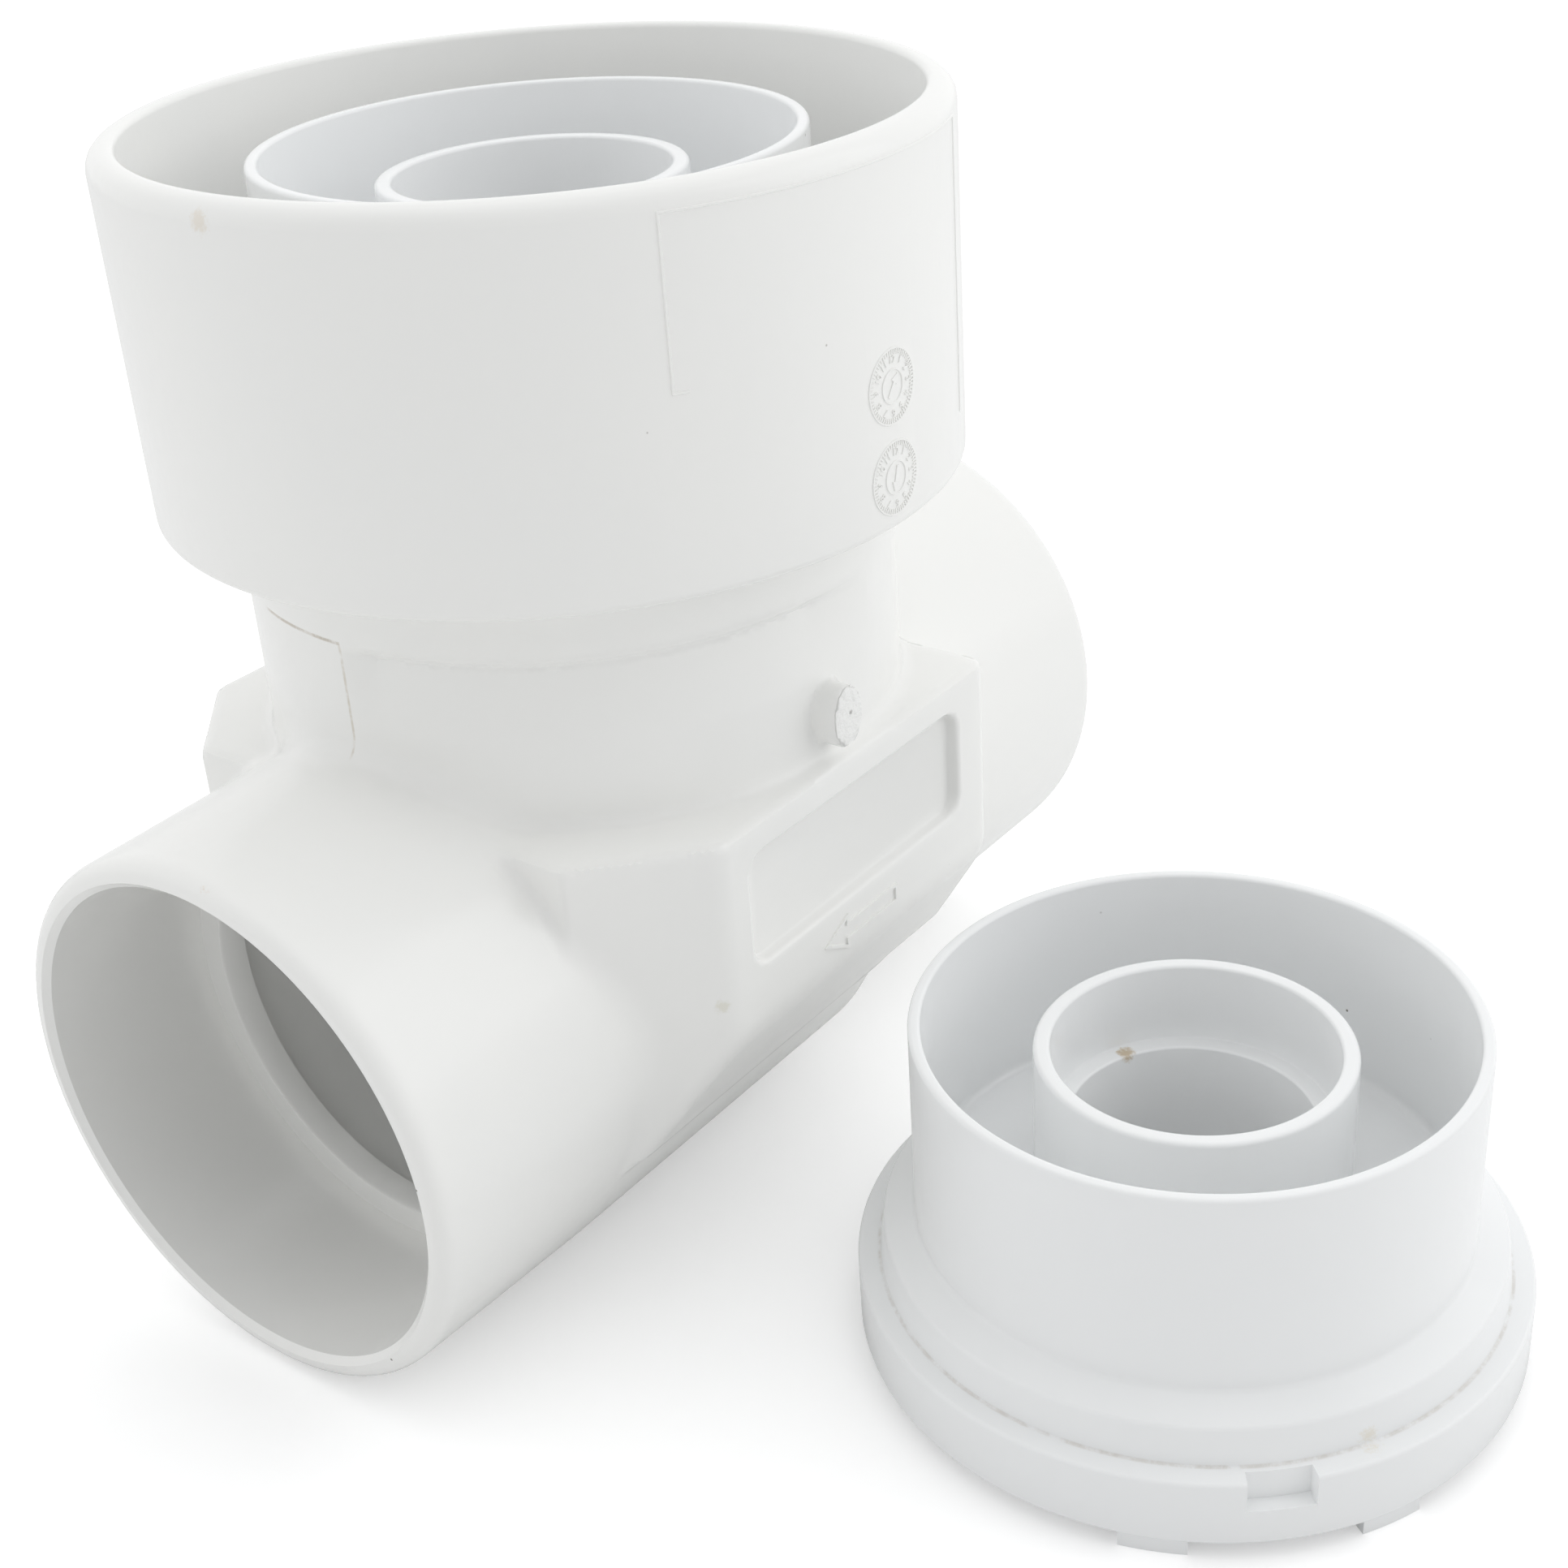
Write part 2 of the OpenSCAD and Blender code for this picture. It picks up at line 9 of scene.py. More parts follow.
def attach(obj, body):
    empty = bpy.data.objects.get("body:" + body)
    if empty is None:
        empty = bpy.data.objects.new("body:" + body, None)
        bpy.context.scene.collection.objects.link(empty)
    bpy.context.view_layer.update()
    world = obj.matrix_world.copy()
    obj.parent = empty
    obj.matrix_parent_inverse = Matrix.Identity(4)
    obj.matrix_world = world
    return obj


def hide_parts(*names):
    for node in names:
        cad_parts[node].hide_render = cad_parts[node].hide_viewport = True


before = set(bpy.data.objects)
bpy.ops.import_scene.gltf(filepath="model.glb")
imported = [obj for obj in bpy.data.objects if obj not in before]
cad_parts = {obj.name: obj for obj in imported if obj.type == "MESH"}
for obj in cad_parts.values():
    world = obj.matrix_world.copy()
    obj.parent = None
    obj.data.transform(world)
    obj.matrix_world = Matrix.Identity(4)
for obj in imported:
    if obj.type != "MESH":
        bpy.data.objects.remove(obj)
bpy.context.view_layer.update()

# Drain run, neck and side boxes: the lower half of the valve body, one white PVC injection moulding.
# Its forms flow into each other with moulded fillets, so it is drawn as one field of distances in
# millimetres and skinned where that field is zero.
MM = 0.001
OUTLET_X, OUTLET_Z = -127.5, 64.5
INLET_X, INLET_Z = 131.5, 74.9
RUN_X = (OUTLET_X, -74.0, 26.0, 72.0)
RUN_R = (63.3, 64.5, 64.5, 52.6)
INLET_R = 63.5
MOUTH_ROUND = 4.6
NECK_R, NECK_FOOT, NECK_HEAD, BAND_FOOT, FLARE_FOOT = 74.5, 108.0, 174.0, 156.9, 166.8
HOLLOW_DEPTH, HOLLOW_FOOT, HOLLOW_FROM, HOLLOW_TO = 3.0, 137.9, 180.0, 280.0
BOX_HALF_W, BOX_HALF_L, BOX_END_L, BOX_END_W, BOX_IN = 78.0, 49.0, 74.0, 55.0, 54.5
BOX_TOP, BOX_EDGE, BOX_FOOT, BOX_FOOT_W = 117.5, 67.5, 41.5, 61.9
GATE_X, GATE_Z, GATE_HALF, GATE_END = -5.6, 129.2, (5.2, 7.4), -80.5
RUN_FILLET, BOX_FILLET, FLARE_FILLET, GATE_FILLET = 6.0, 3.0, 2.5, 1.4
NECK_FILLET, NECK_FILLET_Z = (4.0, 7.5), (120, 129)
SIDE_ROUND, END_ROUND, TOP_ROUND, UNDER_ROUND, GATE_ROUND = 2.0, 5.0, 1.7, 2.2, 0.8
HOLLOW_START_FADE, HOLLOW_END_FADE = 5.5, 16.0
SKIN_PITCH = 1.43


def soft_min(a, b, blend):
    share = np.clip(0.5 + 0.5 * (b - a) / blend, 0, 1)
    return b + (a - b) * share - blend * share * (1 - share)


def soft_max(a, b, blend):
    return -soft_min(-a, -b, blend)


def face_through(a0, b0, a1, b1, a, b):
    """Distance in front of the flat face that runs through two points of a section."""
    length = math.hypot(a1 - a0, b1 - b0)
    return ((b1 - b0) * (a - a0) + (a0 - a1) * (b - b0)) / length


def lower_moulding(x, y, z):
    across, reach = np.abs(y), np.hypot(x, y)
    run = np.hypot(y, z - OUTLET_Z) - np.interp(x, RUN_X, RUN_R)
    run = np.maximum(soft_max(run, OUTLET_X - x, MOUTH_ROUND), x - RUN_X[-1])
    inlet = soft_max(np.hypot(y, z - INLET_Z) - INLET_R, x - INLET_X, MOUTH_ROUND)
    inlet = np.maximum(inlet, -x)
    end = face_through(BOX_END_L, BOX_END_W, BOX_HALF_L, BOX_HALF_W, -x, across)
    under = face_through(BOX_FOOT_W, BOX_FOOT, BOX_HALF_W, BOX_EDGE, across, z)
    box = soft_max(across - BOX_HALF_W, end, SIDE_ROUND)
    box = soft_max(np.maximum(box, -x - BOX_END_L), x - BOX_IN, END_ROUND)
    box = soft_max(box, z - BOX_TOP, TOP_ROUND)
    box = np.maximum(soft_max(box, under, UNDER_ROUND), BOX_FOOT - z)
    angle = np.degrees(np.arctan2(y, x)) % 360
    start = np.clip((angle - HOLLOW_FROM) / HOLLOW_START_FADE, 0, 1)
    span = start * np.clip((HOLLOW_TO - angle) / HOLLOW_END_FADE, 0, 1)
    profile = np.interp(z, (HOLLOW_FOOT, BAND_FOOT - HOLLOW_DEPTH, BAND_FOOT), (0, 1, 0))
    sunk = HOLLOW_DEPTH * span * profile
    shaft = np.maximum(reach - NECK_R + sunk, np.maximum(NECK_FOOT - z, z - NECK_HEAD))
    flare = (reach - NECK_R - z + FLARE_FOOT) / math.sqrt(2)
    flare = np.maximum(flare, np.maximum(FLARE_FOOT - 4 - z, z - NECK_HEAD))
    neck = soft_min(shaft, flare, FLARE_FILLET)
    gate = (np.hypot((x - GATE_X) / GATE_HALF[0], (z - GATE_Z) / GATE_HALF[1]) - 1) * min(GATE_HALF)
    gate = soft_max(gate, GATE_END - y, GATE_ROUND)
    body = soft_min(soft_min(run, inlet, RUN_FILLET), box, BOX_FILLET)
    body = soft_min(body, neck, np.interp(z, NECK_FILLET_Z, NECK_FILLET))
    return soft_min(body, np.maximum(gate, y), GATE_FILLET)


def settled(field, points, rounds):
    """Moves points straight onto the surface where the field is zero."""
    step = 0.02
    for _ in range(rounds):
        slope = np.empty_like(points)
        for i in range(3):
            shift = np.zeros(3)
            shift[i] = step
            slope[:, i] = (field(*(points + shift).T) - field(*(points - shift).T)) / (2 * step)
        reach = field(*points.T) / np.maximum((slope**2).sum(1), 1e-6)
        points = points - np.clip(reach, -SKIN_PITCH, SKIN_PITCH)[:, None] * slope
    return points


def skinned(field, low, high, pitch):
    """Points and outward quads of the surface where the field is zero."""
    axes = [np.arange(a, b + pitch, pitch) for a, b in zip(low, high)]
    inside = field(*np.meshgrid(*axes, indexing="ij", sparse=True)) < 0
    count = np.zeros([n - 1 for n in inside.shape], np.int8)
    for corner in np.ndindex(2, 2, 2):
        count += inside[tuple(slice(c, n - 1 + c) for c, n in zip(corner, inside.shape))]
    cells = (count > 0) & (count < 8)
    number = np.full(cells.shape, -1)
    number[cells] = np.arange(cells.sum())
    points = (np.argwhere(cells) + 0.5) * pitch + np.array(low)
    quads = []
    for axis in range(3):
        one, two = (axis + 1) % 3, (axis + 2) % 3
        lower = np.delete(inside, -1, axis)
        edges = np.argwhere(lower != np.delete(inside, 0, axis))
        ring = []
        for a, b in ((-1, -1), (0, -1), (0, 0), (-1, 0)):
            cell = edges.copy()
            cell[:, one] += a
            cell[:, two] += b
            ring.append(number[tuple(cell.T)])
        quad = np.stack(ring, 1)
        hollow = ~lower[tuple(edges.T)]
        quad[hollow] = quad[hollow][:, ::-1]
        quads.append(quad)
    quads = np.concatenate(quads)
    here, there = quads.ravel(), np.roll(quads, -1, 1).ravel()
    links = np.bincount(here)[:, None]
    points = settled(field, points, 2)
    for _ in range(3):
        mean = np.stack([np.bincount(here, points[there, i]) for i in range(3)], 1) / links
        points = settled(field, (points + mean) / 2, 2)
    return points, quads


def new_object(name, points, faces):
    mesh = bpy.data.meshes.new(name)
    mesh.from_pydata((np.asarray(points, float) * MM).tolist(), [], [list(f) for f in faces])
    made = bpy.data.objects.new(name, mesh)
    bpy.context.scene.collection.objects.link(made)
    return made


low_corner = (OUTLET_X - 4, -BOX_HALF_W - 8, -4)
high_corner = (INLET_X + 4, BOX_HALF_W + 8, NECK_HEAD + 4)
points, quads = skinned(lower_moulding, low_corner, high_corner, SKIN_PITCH)
valve = new_object("valve_moulding", points, quads.tolist())


# Riser hub of the same moulding: a plain socket for 6 inch pipe with a rounded rim and a floor that
# the pipe stops on, standing on the neck's flare.
HUB_R, HUB_FOOT, HUB_TOP, RISER_R, RISER_FLOOR = 91.4, 172.8, 253.5, 84.4, 177.5


def rounded(corners, steps=5):
    """Closed loop through corners given as (radius, height, rounding)."""
    loop = []
    for i, (r, h, rounding) in enumerate(corners):
        here = np.array((r, h))
        back = np.array(corners[i - 1][:2]) - here
        ahead = np.array(corners[(i + 1) % len(corners)][:2]) - here
        back, ahead = back / np.linalg.norm(back), ahead / np.linalg.norm(ahead)
        half = math.acos(np.clip(back @ ahead, -1, 1)) / 2
        if rounding == 0 or half > 1.55:
            loop.append(here)
            continue
        middle = (back + ahead) / np.linalg.norm(back + ahead)
        centre = here + middle * rounding / math.sin(half)
        for share in np.linspace(0, 1, steps + 1):
            start = here + back * rounding / math.tan(half) - centre
            end = here + ahead * rounding / math.tan(half) - centre
            turn = math.pi - 2 * half
            mix = (math.sin((1 - share) * turn) * start + math.sin(share * turn) * end) / math.sin(turn)
            loop.append(centre + mix)
    return loop


def turned(name, loop, centre=(0, 0, 0), along="Z", steps=180):
    """Solid turned from a closed loop of (radius, height) about an axis along Z or X."""
    r, h = np.array(loop).T
    angle = np.arange(steps) * 2 * math.pi / steps
    wide, deep = np.outer(r, np.cos(angle)), np.outer(r, np.sin(angle))
    high = np.repeat(h[:, None], steps, 1)
    rings = np.stack([wide, deep, high] if along == "Z" else [high, wide, deep], -1)
    index = np.arange(len(r) * steps).reshape(len(r), steps)
    ahead = np.roll(index, -1, 0)
    faces = np.stack([index, ahead, np.roll(ahead, -1, 1), np.roll(index, -1, 1)], -1)
    made = new_object(name, rings.reshape(-1, 3) + np.array(centre), faces.reshape(-1, 4).tolist())
    return cleaned(made)


def cleaned(made):
    """Merges doubled points and turns all faces outwards."""
    work = bmesh.new()
    work.from_mesh(made.data)
    bmesh.ops.remove_doubles(work, verts=work.verts, dist=1e-7)
    bmesh.ops.recalc_face_normals(work, faces=work.faces)
    work.to_mesh(made.data)
    work.free()
    return made


def prism(name, outline, low, high, frame_of=Matrix.Identity(4)):
    """Solid drawn from a flat outline between two heights, then placed by a matrix in millimetres."""
    n = len(outline)
    points = [(a, b, h) for h in (low, high) for a, b in outline]
    faces = [range(n), range(n, 2 * n)]
    faces += [(i, (i + 1) % n, n + (i + 1) % n, n + i) for i in range(n)]
    placed = [frame_of @ Vector(p) for p in points]
    return cleaned(new_object(name, placed, faces))


def combined(base, tool, operation):
    """Joins a solid to another, cuts it out, or keeps what they share; the tool is used up."""
    step = base.modifiers.new(operation, "BOOLEAN")
    step.object, step.operation, step.solver = tool, operation, "MANIFOLD"
    bpy.context.view_layer.update()
    dressed = base.evaluated_get(bpy.context.evaluated_depsgraph_get())
    mesh = bpy.data.meshes.new_from_object(dressed)
    base.modifiers.clear()
    base.data = mesh
    bpy.data.objects.remove(tool)
    return base


HUB = [(HUB_R, HUB_TOP, 4.4), (RISER_R + 0.6, HUB_TOP, 1.4), (RISER_R, RISER_FLOOR, 1.2),
    (50, RISER_FLOOR, 0), (50, HUB_FOOT, 0), (HUB_R, HUB_FOOT, 2.2)]
riser = turned("riser", rounded(HUB), steps=256)
combined(valve, riser, "UNION")

# Hollows of the body: the drain way with its pipe sockets and stops, the chamber that the flapper
# swings in, the sloping seat, the cartridge's recess and the sunk fields in the side panels. Cores
# form them in the mould, and here turned and drawn solids are cut out.
SOCKET_R, BORE_R, SOCKET_DEPTH, MOUTH_BEVEL = 57.35, 50.8, 44.5, 1.5
STOP_RING, TROUGH_R, WAY_R, RECESS_R, LEDGE = 7.0, 58.0, 62.6, 73.6, 171.1
LUG_R, LUG_SPREAD, LUG_SPAN, POCKET_FLOOR = (68.4, 72.6), 19.7, 13.0, 166.8
SEAT_X, SEAT_TILT, SEAT_TOP, FLAPPER_ROOM_R, FLAPPER_ROOM_T = 24.0, 10.0, 60.5, 57.1, 13.1
WALL = 6.0
FIELD_HALF_L, FIELD_LOW, FIELD_HIGH, FIELD_ROUND, FIELD_DEPTH = 40.5, 83.0, 110.0, 5.0, 3.0


stop_x = OUTLET_X + SOCKET_DEPTH
cavity = turned("cavity", [(0, stop_x + STOP_RING), (TROUGH_R, stop_x + STOP_RING),
    (TROUGH_R, BOX_END_L), (0, BOX_END_L)], (0, 0, OUTLET_Z), "X")
way = [(0, OUTLET_Z), (WAY_R, OUTLET_Z), (WAY_R, LEDGE - 0.6), (WAY_R + 0.6, LEDGE), (RECESS_R, LEDGE),
    (RECESS_R, RISER_FLOOR - 0.5), (RECESS_R + 0.5, RISER_FLOOR), (RECESS_R + 0.5, RISER_FLOOR + 2),
    (0, RISER_FLOOR + 2)]
combined(cavity, turned("way", way, steps=256), "UNION")
slope = math.atan2(BOX_HALF_W - BOX_END_W, BOX_END_L - BOX_HALF_L)
room_w, room_end, room_in = BOX_HALF_W - WALL, BOX_END_L - WALL, BOX_IN - WALL
room_l = BOX_HALF_L - WALL * math.tan(slope / 2)
room_end_w = room_w - (room_end - room_l) * math.tan(slope)
plan = [(room_in, room_w), (-room_l, room_w), (-room_end, room_end_w), (-room_end, -room_end_w),
    (-room_l, -room_w), (room_in, -room_w)]
combined(cavity, prism("rooms", plan, BOX_EDGE, BOX_TOP - WALL), "UNION")
on_seat = Matrix.Translation((SEAT_X, 0, INLET_Z)) @ Matrix.Rotation(math.radians(SEAT_TILT), 4, "Y")
reach = INLET_X
combined(cavity, prism("seat", [(0, -reach), (reach, -reach), (reach, reach), (0, reach)],
    -reach, SEAT_TOP, on_seat), "DIFFERENCE")
circle = [(FLAPPER_ROOM_R * math.cos(a), FLAPPER_ROOM_R * math.sin(a))
    for a in np.radians(np.arange(0, 360, 3))]
against_seat = on_seat @ Matrix.Rotation(math.radians(-90), 4, "Y")
combined(cavity, prism("flapper_room", circle, -0.02, FLAPPER_ROOM_T, against_seat), "UNION")
combined(valve, cavity, "DIFFERENCE")
outlet_way = [(0, OUTLET_X - 3), (SOCKET_R + MOUTH_BEVEL + 3, OUTLET_X - 3),
    (SOCKET_R, OUTLET_X + MOUTH_BEVEL), (SOCKET_R, stop_x), (BORE_R + 0.4, stop_x),
    (BORE_R, stop_x + 0.5), (BORE_R, 0), (0, 0)]
combined(valve, turned("outlet_way", outlet_way, (0, 0, OUTLET_Z), "X"), "DIFFERENCE")
in_stop_x = INLET_X - SOCKET_DEPTH
inlet_way = [(0, 0), (BORE_R, 0), (BORE_R, in_stop_x - 0.5), (BORE_R + 0.4, in_stop_x),
    (SOCKET_R, in_stop_x), (SOCKET_R, INLET_X - MOUTH_BEVEL),
    (SOCKET_R + MOUTH_BEVEL + 3, INLET_X + 3), (0, INLET_X + 3)]
combined(valve, turned("inlet_way", inlet_way, (0, 0, INLET_Z), "X"), "DIFFERENCE")


def field_cutter(name, side):
    """Sunk field with a rolled lip and a rounded foot, on one side panel."""
    lip = [(-1.2, 1.6), (0.0, 0.95), (0.35, 0.4), (0.8, 0.1), (1.5, 0.0), (2.6, -0.25), (FIELD_DEPTH, -0.8)]
    half_h, middle_z = (FIELD_HIGH - FIELD_LOW) / 2, (FIELD_LOW + FIELD_HIGH) / 2
    loops = []
    for depth, grow in lip:
        loop = []
        for cx, cz, start in ((1, 1, 0), (-1, 1, 90), (-1, -1, 180), (1, -1, 270)):
            for a in np.radians(np.linspace(start, start + 90, 9)):
                loop.append((cx * (FIELD_HALF_L - FIELD_ROUND) + (FIELD_ROUND + grow) * math.cos(a),
                    side * (BOX_HALF_W - depth),
                    middle_z + cz * (half_h - FIELD_ROUND) + (FIELD_ROUND + grow) * math.sin(a)))
        loops.append(loop)
    n = len(loops[0])
    faces = [range(n), range(n * (len(loops) - 1), n * len(loops))]
    faces += [(r * n + i, r * n + (i + 1) % n, (r + 1) * n + (i + 1) % n, (r + 1) * n + i)
        for r in range(len(loops) - 1) for i in range(n)]
    return cleaned(new_object(name, [p for loop in loops for p in loop], faces))


for side in (-1, 1):
    combined(valve, field_cutter("field", side), "DIFFERENCE")


def sector(name, r0, r1, low, high, middle, span):
    """Part of an upright ring about Z, between two heights, centred on a direction in degrees."""
    arc = np.radians(np.linspace(middle - span / 2, middle + span / 2, 13))
    outline = [(r1 * math.cos(a), r1 * math.sin(a)) for a in arc]
    outline += [(r0 * math.cos(a), r0 * math.sin(a)) for a in arc[::-1]]
    return prism(name, outline, low, high)


for middle in (-90, 90):
    for side in (-1, 1):
        pocket = sector("pocket", *LUG_R, POCKET_FLOOR, LEDGE + 1, middle + side * LUG_SPREAD, LUG_SPAN)
        combined(valve, pocket, "DIFFERENCE")

# Flow arrow on each side panel: a raised outline that points to the outlet, cut into the mould's
# steel, so it is one with the body.
ARROW = [(-16.5, 0), (-7.2, 4.6), (-7.2, 2.4), (12.6, 2.4), (12.6, -2.4), (-7.2, -2.4), (-7.2, -4.6)]
ARROW_IN = [(-14.8, 0), (-8.0, 3.35), (-8.0, 1.6), (11.8, 1.6), (11.8, -1.6), (-8.0, -1.6), (-8.0, -3.35)]
ARROW_Z, ARROW_PROUD = 74.8, 0.5
upright = Matrix.Translation((0, 0, ARROW_Z)) @ Matrix.Rotation(math.radians(90), 4, "X")
for side in (-1, 1):
    low, high = sorted((-side * (BOX_HALF_W - 0.6), -side * (BOX_HALF_W + ARROW_PROUD)))
    arrow = prism("arrow", ARROW, low, high, upright)
    combined(arrow, prism("arrow_in", ARROW_IN, low - 1, high + 1, upright), "DIFFERENCE")
    combined(valve, arrow, "UNION")


# Moulded PVC of the body: a warm greyish white with a satin skin, slight flow marks, a fine
# orange peel, and the dark specks and handling dirt that such a fitting collects in a store, with
# painted shade in the crease under the hub and in a small pit on the gate's cut face.
def make(tree, kind, values=None, **settings):
    """Adds a shader node; values go on its inputs by name or number, and sockets are linked."""
    made = tree.nodes.new("ShaderNode" + kind)
    for name, value in settings.items():
        setattr(made, name, value)
    for key, value in (values or {}).items():
        if isinstance(value, bpy.types.NodeSocket):
            tree.links.new(value, made.inputs[key])
        else:
            made.inputs[key].default_value = value
    return made


def math_of(tree, operation, a, b=0.0):
    return make(tree, "Math", {0: a, 1: b}, operation=operation).outputs[0]


def ramp_of(tree, factor, low, high, reverse=False):
    """0 below low, 1 above high, smooth between; or the other way round."""
    ends = (1.0, 0.0) if reverse else (0.0, 1.0)
    return make(tree, "MapRange", {0: factor, 1: low, 2: high, 3: ends[0], 4: ends[1]},
        interpolation_type="SMOOTHSTEP").outputs[0]


def mixed(tree, factor, a, b):
    made = make(tree, "Mix", data_type="RGBA")
    for socket, value in zip((made.inputs[0], made.inputs[6], made.inputs[7]), (factor, a, b)):
        if isinstance(value, bpy.types.NodeSocket):
            tree.links.new(value, socket)
        else:
            socket.default_value = value
    return made.outputs[2]


def moulded_pvc(name, colour, shade, roughness, speck_seed):
    """Returns a white plastic with its tree, shader, place and colour, for marks to be added."""
    material = bpy.data.materials.new(name)
    material.use_nodes = True
    tree = material.node_tree
    shader = tree.nodes["Principled BSDF"]
    shader.inputs["IOR"].default_value = 1.52
    place = make(tree, "TexCoord").outputs["Object"]
    flow = make(tree, "TexNoise", {"Vector": place, "Scale": 14.0, "Detail": 3.0, "Distortion": 0.6})
    tone = mixed(tree, ramp_of(tree, flow.outputs[0], 0.3, 0.75), colour, shade)
    shift = (speck_seed, speck_seed * 0.7, 0)
    shifted = make(tree, "Mapping", {"Vector": place, "Location": shift}).outputs[0]
    cell = make(tree, "TexVoronoi", {"Vector": shifted, "Scale": 110.0})
    dot = ramp_of(tree, cell.outputs["Distance"], 0.02, 0.045, reverse=True)
    pick = make(tree, "SeparateColor", {0: cell.outputs["Color"]}).outputs[0]
    speck = math_of(tree, "MULTIPLY", dot, ramp_of(tree, pick, 0.86, 1.0))
    tone = mixed(tree, speck, tone, (0.2, 0.18, 0.15, 1))
    skin = make(tree, "TexNoise", {"Vector": place, "Scale": 320.0, "Detail": 2.0})
    wave = make(tree, "TexNoise", {"Vector": place, "Scale": 45.0, "Detail": 1.0})
    fine = make(tree, "Bump", {"Strength": 0.03, "Distance": 0.0006, "Height": skin.outputs[0]})
    bump = make(tree, "Bump", {"Strength": 0.05, "Distance": 0.0008, "Height": wave.outputs[0],
        "Normal": fine.outputs[0]})
    tree.links.new(bump.outputs[0], shader.inputs["Normal"])
    gloss = make(tree, "MapRange", {0: flow.outputs[0], 3: roughness - 0.05, 4: roughness + 0.07})
    tree.links.new(gloss.outputs[0], shader.inputs["Roughness"])
    return material, tree, shader, place, tone


def spot(tree, place, centre, radius, grain):
    """1 inside a ragged spot about a point in millimetres, 0 outside it."""
    apart = make(tree, "VectorMath", {0: place, 1: tuple(c * MM for c in centre)},
        operation="DISTANCE").outputs["Value"]
    ragged = make(tree, "TexNoise", {"Vector": place, "Scale": grain, "Detail": 4.0,
        "Roughness": 0.7}).outputs[0]
    edge = math_of(tree, "MULTIPLY_ADD", ragged, radius * MM * 1.6)
    edge.node.inputs[2].default_value = -radius * MM * 0.8
    return ramp_of(tree, math_of(tree, "ADD", apart, edge), radius * MM * 0.35, radius * MM, reverse=True)


def line_at(tree, value, middle, half_width):
    """1 where a length in millimetres is at a given value, fading out on both sides."""
    off = math_of(tree, "ABSOLUTE", math_of(tree, "SUBTRACT", value, middle * MM))
    return ramp_of(tree, off, half_width * MM * 0.3, half_width * MM, reverse=True)


def within(tree, value, low, high, fade):
    """1 between two values, with soft ends."""
    up = ramp_of(tree, value, low - fade, low + fade)
    return math_of(tree, "MULTIPLY", up, ramp_of(tree, value, high - fade, high + fade, reverse=True))


def product(tree, *factors):
    total = factors[0]
    for factor in factors[1:]:
        total = math_of(tree, "MULTIPLY", total, factor)
    return total


body_pvc, tree, shader, place, tone = moulded_pvc("moulded_body_pvc", (0.935, 0.935, 0.915, 1),
    (0.925, 0.927, 0.91, 1), 0.2, 0.0)
axes = make(tree, "SeparateXYZ", {0: place})
x, y, z = axes.outputs
turn = math_of(tree, "ARCTAN2", y, x)
level = make(tree, "CombineXYZ", {0: x, 1: y}).outputs[0]
reach = make(tree, "VectorMath", {0: level}, operation="LENGTH").outputs["Value"]
blotch = make(tree, "TexNoise", {"Vector": place, "Scale": 260.0, "Detail": 5.0, "Roughness": 0.7}).outputs[0]
broken = ramp_of(tree, blotch, 0.3, 0.6)
band_line = product(tree, line_at(tree, z, BAND_FOOT - 0.1, 0.55),
    within(tree, turn, 2.76, 3.16, 0.02), broken)
edge_line = product(tree, line_at(tree, y, 0.2, 0.5), within(tree, z, 0.131, 0.1565, 0.001),
    math_of(tree, "LESS_THAN", x, -0.06), broken)
# A darker, broken line in the crease where the neck's flare meets the underside of the hub: painted shade.
painted_crease_shade = product(tree, line_at(tree, z, HUB_FOOT - 0.2, 0.7),
    math_of(tree, "LESS_THAN", reach, 0.0815), broken, 0.4)
cut_face = product(tree, ramp_of(tree, y, (GATE_END + 0.2) * MM, (GATE_END + 0.5) * MM, reverse=True),
    line_at(tree, x, GATE_X, GATE_HALF[0] * 2), line_at(tree, z, GATE_Z, GATE_HALF[1] * 2))
# A dark grey spot on the gate's cut face: painted shade of a small pit.
painted_pit_shade = spot(tree, place, (GATE_X + 0.6, GATE_END, GATE_Z + 0.8), 0.8, 900.0)
for mark, colour in ((band_line, (0.6, 0.55, 0.48, 1)), (edge_line, (0.74, 0.7, 0.63, 1)),
        (painted_crease_shade, (0.7, 0.67, 0.62, 1)), (painted_pit_shade, (0.42, 0.41, 0.4, 1)),
        (spot(tree, place, (-127, -9, 127.5), 2.0, 700.0), (0.78, 0.66, 0.54, 1)),
        (spot(tree, place, (-91, -1, 249.5), 3.0, 900.0), (0.86, 0.82, 0.75, 1)),
        (spot(tree, place, (-51.5, -76.5, 78.5), 2.4, 600.0), (0.84, 0.83, 0.76, 1)),
        (spot(tree, place, (-10.6, -77.8, 66.0), 1.0, 500.0), (0.12, 0.11, 0.1, 1))):
    tone = mixed(tree, mark, tone, colour)
rough_cut = make(tree, "TexNoise", {"Vector": place, "Scale": 700.0, "Detail": 3.0}).outputs[0]
torn = make(tree, "Bump", {"Strength": 0.8, "Distance": 0.0006, "Height": product(tree, rough_cut, cut_face),
    "Normal": shader.inputs["Normal"].links[0].from_socket})
tree.links.new(torn.outputs[0], shader.inputs["Normal"])
tree.links.new(tone, shader.inputs["Base Color"])

# Label frame and date dials on the riser hub: inserts in the mould leave a thin raised frame round a
# blank label, and two small dials with rings, ticks, plain numbers and a pointer.
FRAME_LEFT, FRAME_RIGHT, FRAME_LOW, FRAME_TOP, FRAME_DEEP = -53.0, 36.7, 215.0, 248.8, 186.0
DIAL_R, TICK_R, NUMBER_R, HEART_R, NUMBER_SIZE, PROUD, ROOT = 7.8, 7.1, 5.5, 3.5, 2.3, 0.24, -0.2
DIALS = ((203.5, -35.0), (184.2, 165.0))


